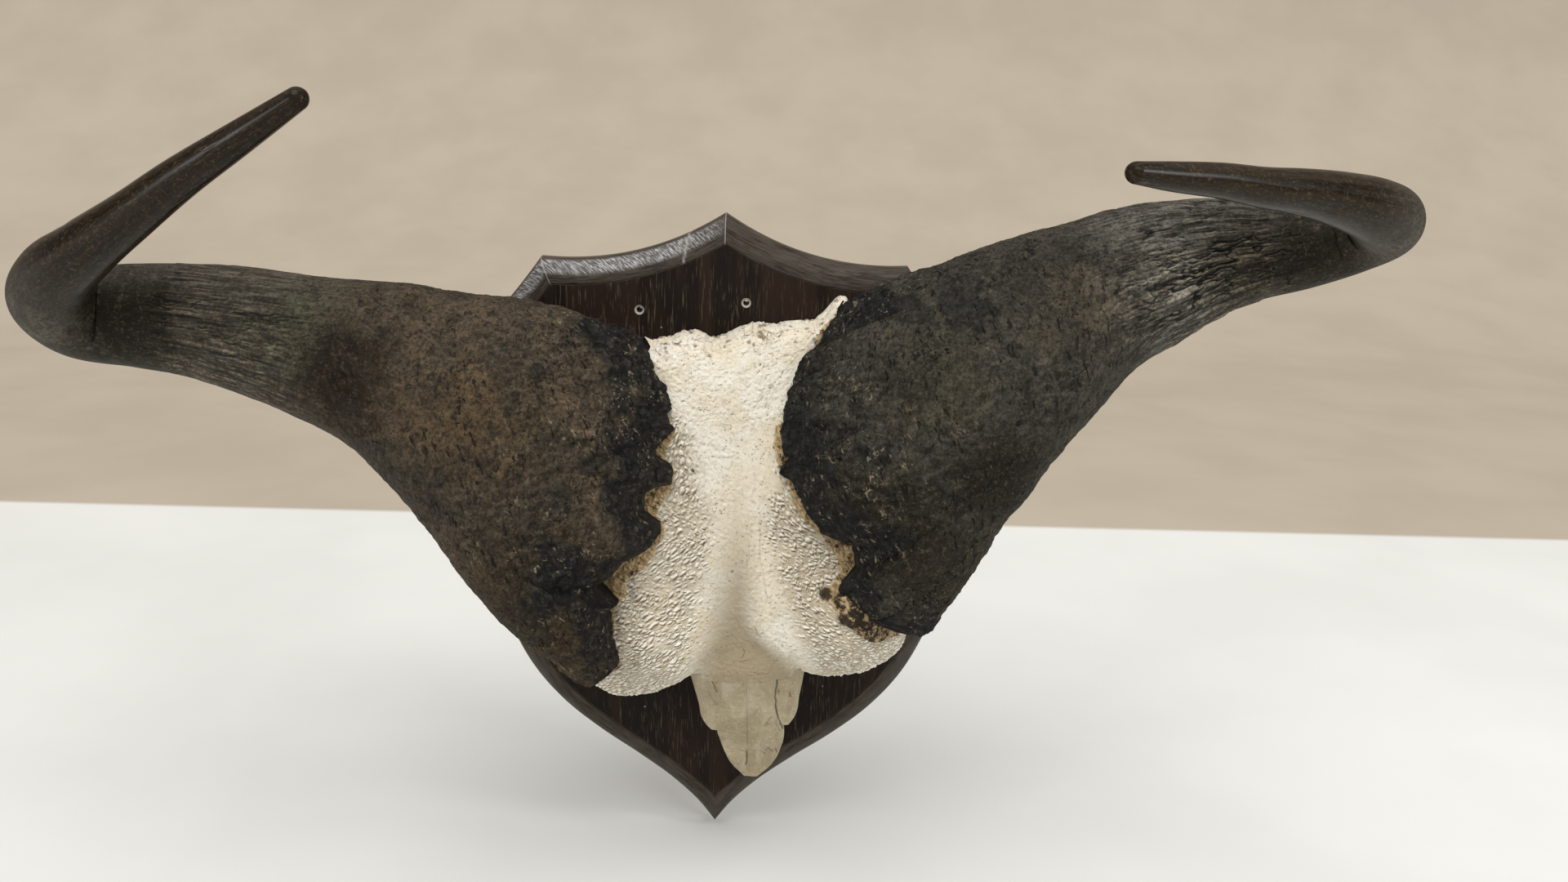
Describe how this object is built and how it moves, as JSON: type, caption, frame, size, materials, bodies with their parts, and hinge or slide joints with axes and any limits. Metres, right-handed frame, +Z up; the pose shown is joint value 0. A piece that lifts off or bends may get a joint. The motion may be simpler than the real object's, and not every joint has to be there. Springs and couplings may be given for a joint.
{
  "type": "cape buffalo skull on shield plaque",
  "caption": "Wall-mounted cape buffalo frontlet: forehead, nasal bones and both horns on a dark oak shield plaque, as a still, life-size museum model.",
  "frame": {"origin": "middle of the plaque's flat back, halfway between its peak and its bottom tip, on the wall", "axes": "+X to the viewer's right along the horns' spread, +Y into the wall, +Z up"},
  "size_m": [1.0221, 0.2761, 0.6366],
  "materials": {
    "oak": "dark stained oak, satin, moulded edge",
    "bone": "bleached bone, matt, pitted and pebbled",
    "nasal_bone": "darker beige bone, smooth and matt",
    "horn_brown": "horn sheath, rough dark brown boss, polished tip",
    "horn_grey": "horn sheath, rough grey-black boss, polished tip"
  },
  "bodies": {
    "root": {"plaque": "oak", "skull_frontal": "bone", "nasal_left": "nasal_bone", "nasal_right": "nasal_bone", "maxilla_left": "nasal_bone", "maxilla_right": "nasal_bone", "horn_left": "horn_brown", "horn_right": "horn_grey"}
  },
  "joints": []
}
